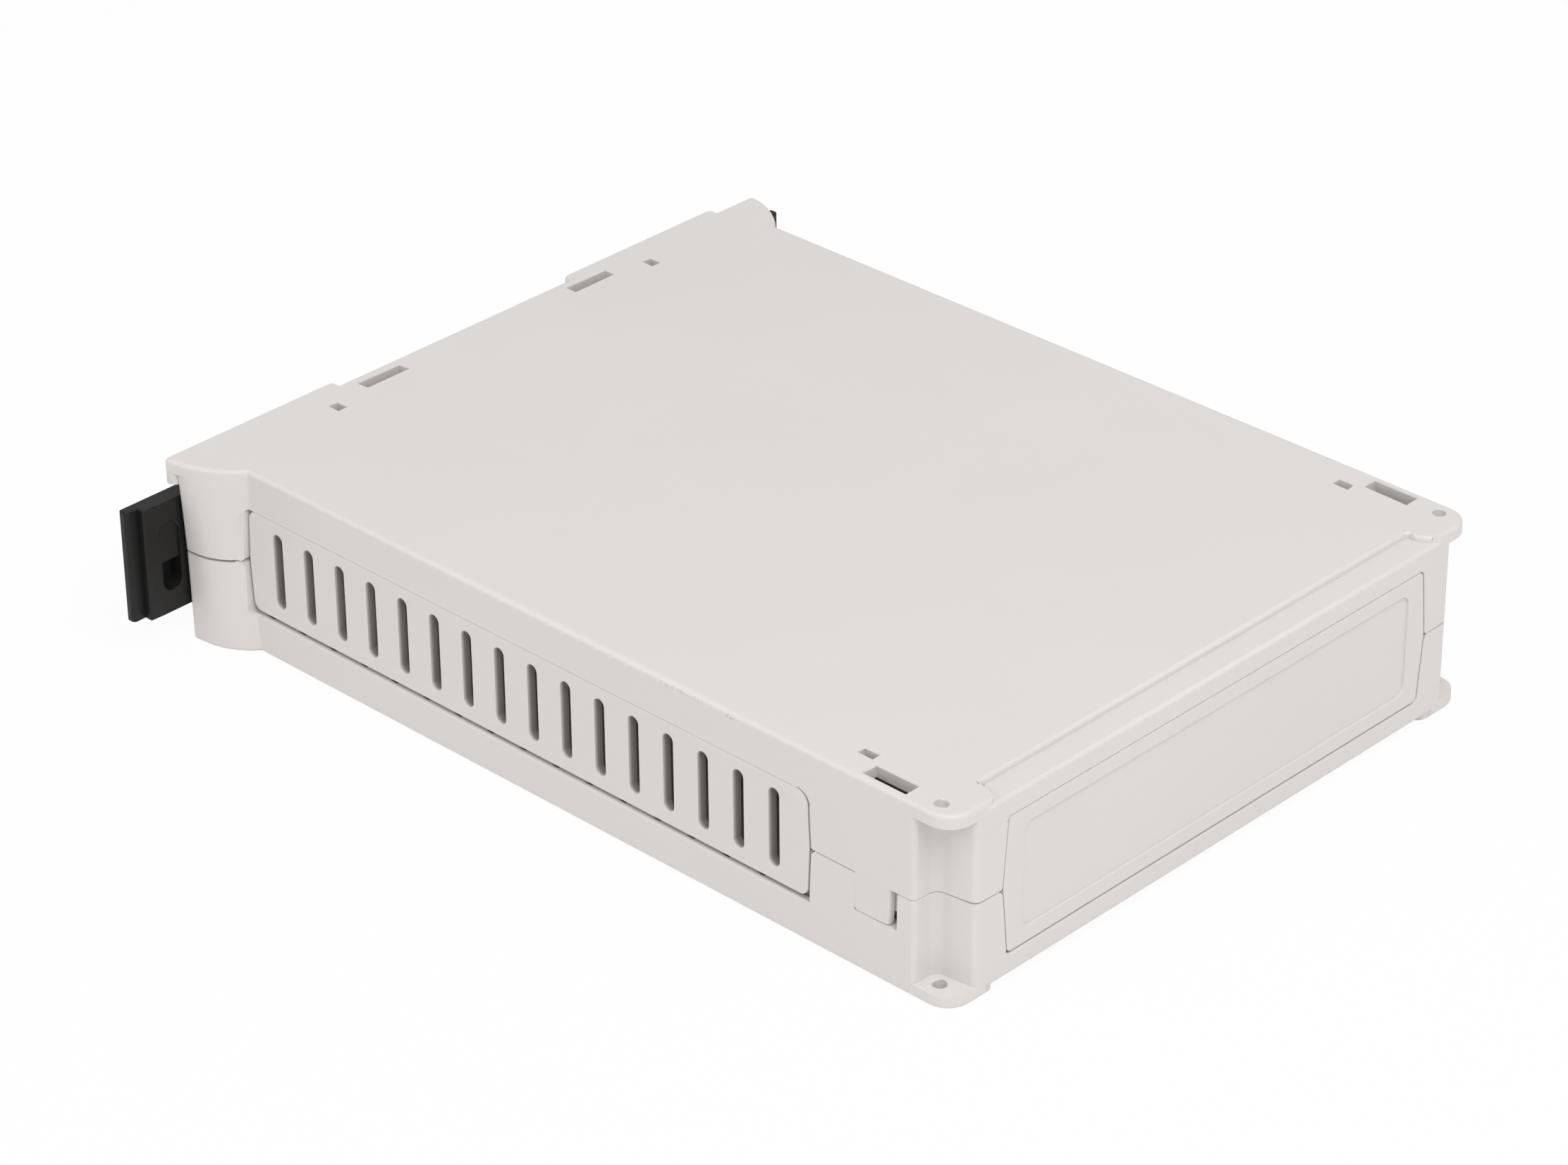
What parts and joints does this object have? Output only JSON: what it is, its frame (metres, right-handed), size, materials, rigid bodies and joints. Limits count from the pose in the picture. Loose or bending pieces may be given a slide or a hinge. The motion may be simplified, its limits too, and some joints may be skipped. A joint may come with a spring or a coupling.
{
  "type": "din rail enclosure",
  "caption": "Slim vented plastic module case that clips onto a 35 mm top-hat rail with two sliding latches and has a plain label panel at the front.",
  "frame": {"origin": "on the rail seat: the plane where the rail's flanges bear, on the rail's centre line and on the parting plane of the two shells", "axes": "+X from the rail to the front panel, +Y across the case along its width, towards the far vent panel, +Z through the case's thickness from the lower shell to the upper one"},
  "size_m": [0.113, 0.1015, 0.0226],
  "materials": {
    "shell_plastic": "light warm grey moulded plastic, fine satin grain",
    "panel_plastic": "light warm grey moulded plastic, smooth satin",
    "slider_plastic": "black moulded plastic, satin"
  },
  "bodies": {
    "case": {"upper_shell": "shell_plastic", "lower_shell": "shell_plastic", "front_panel": "panel_plastic", "vent_panel_near": "panel_plastic", "vent_panel_far": "panel_plastic"},
    "near_latch": {"rail_slider_near": "slider_plastic"},
    "far_latch": {"rail_slider_far": "slider_plastic"}
  },
  "joints": [
    {"name": "near_latch_slide", "type": "slide", "parent": "case", "child": "near_latch", "axis": [0, 1, 0], "range_m": [0, 0.0038]},
    {"name": "far_latch_slide", "type": "slide", "parent": "case", "child": "far_latch", "axis": [0, -1, 0], "range_m": [0, 0.0038]}
  ]
}
